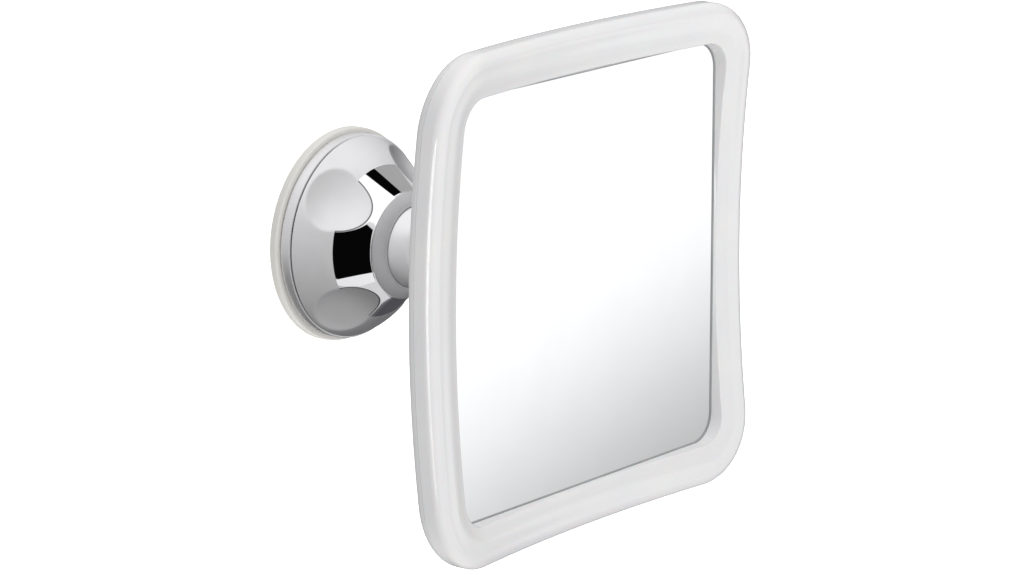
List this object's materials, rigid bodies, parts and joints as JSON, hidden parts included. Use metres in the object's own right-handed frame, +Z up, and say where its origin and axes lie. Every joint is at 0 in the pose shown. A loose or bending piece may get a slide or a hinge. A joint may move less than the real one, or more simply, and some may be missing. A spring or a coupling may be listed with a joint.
{
  "type": "fogless shower mirror",
  "caption": "Square shower mirror in a dished frame on a ball-jointed neck, held to the wall by a twist-lock suction base with a four-scoop knob.",
  "frame": {"origin": "centre of the suction disc's flat back, on the wall plane", "axes": "+Y into the wall, so the mirror faces -Y; +Z up the wall; +X to the right as seen from the front"},
  "size_m": [0.1958, 0.133, 0.1958],
  "materials": {
    "milky_plastic": "glossy milky white moulding, lightly polished",
    "shell_plastic": "satin white moulding",
    "mirror_glass": "silvered glass with a fog-resistant coating",
    "seal_rubber": "soft grey seal",
    "foam": "closed-cell foam",
    "plated_bell": "bright plated plastic",
    "plated_trim": "bright plated plastic",
    "satin_plated": "satin plated",
    "collar_plated": "bright plated plastic",
    "steel": "plain stainless",
    "hub_plastic": "natural engineering plastic",
    "cam_plastic": "acetal",
    "washer_plastic": "low-friction acetal",
    "silicone": "off-white silicone",
    "black_rubber": "black rubber"
  },
  "bodies": {
    "base": {"suction_disc": "silicone", "base_plate": "hub_plastic", "trim_ring": "plated_trim", "hub_post": "hub_plastic", "socket_collar": "collar_plated", "thrust_washer": "washer_plastic", "base_screw_1": "steel", "base_screw_2": "steel", "base_screw_3": "steel"},
    "knob": {"lock_knob": "plated_bell", "lift_cam": "cam_plastic"},
    "stud": {"lift_stud": "steel", "cross_pin": "steel"},
    "ball_pan_carrier": {"pressure_cup": "steel"},
    "ball_tilt_carrier": {"friction_pad": "black_rubber"},
    "mirror_head": {"ball_neck": "satin_plated", "neck_gasket": "black_rubber", "frame_bezel": "milky_plastic", "back_shell": "shell_plastic", "mirror_pane": "mirror_glass", "pane_seal": "seal_rubber", "foam_pad": "foam", "case_screw_1": "steel", "case_screw_2": "steel", "case_screw_3": "steel", "case_screw_4": "steel", "neck_screw_1": "steel", "neck_screw_2": "steel", "neck_screw_3": "steel", "neck_screw_4": "steel"}
  },
  "joints": [
    {"name": "lock_turn", "type": "hinge", "parent": "base", "child": "knob", "pos_m": [0, 0, 0], "axis": [0, 1, 0], "range_deg": [0, 90]},
    {"name": "stud_lift", "type": "slide", "parent": "base", "child": "stud", "axis": [0, -1, 0], "range_m": [0, 0.002], "deforming": ["suction_disc"]},
    {"name": "ball_pan", "type": "hinge", "parent": "base", "child": "ball_pan_carrier", "pos_m": [0, -0.0342, 0], "axis": [0, 0, 1], "range_deg": [-30, 30]},
    {"name": "ball_tilt", "type": "hinge", "parent": "ball_pan_carrier", "child": "ball_tilt_carrier", "pos_m": [0, -0.0342, 0], "axis": [1, 0, 0], "range_deg": [-30, 30]},
    {"name": "mirror_spin", "type": "hinge", "parent": "ball_tilt_carrier", "child": "mirror_head", "pos_m": [0, -0.0342, 0], "axis": [0, -1, 0], "continuous": true}
  ],
  "couplings": [
    {"joint": "stud_lift", "follows": "lock_turn", "m_per_rad": 0.001273}
  ]
}
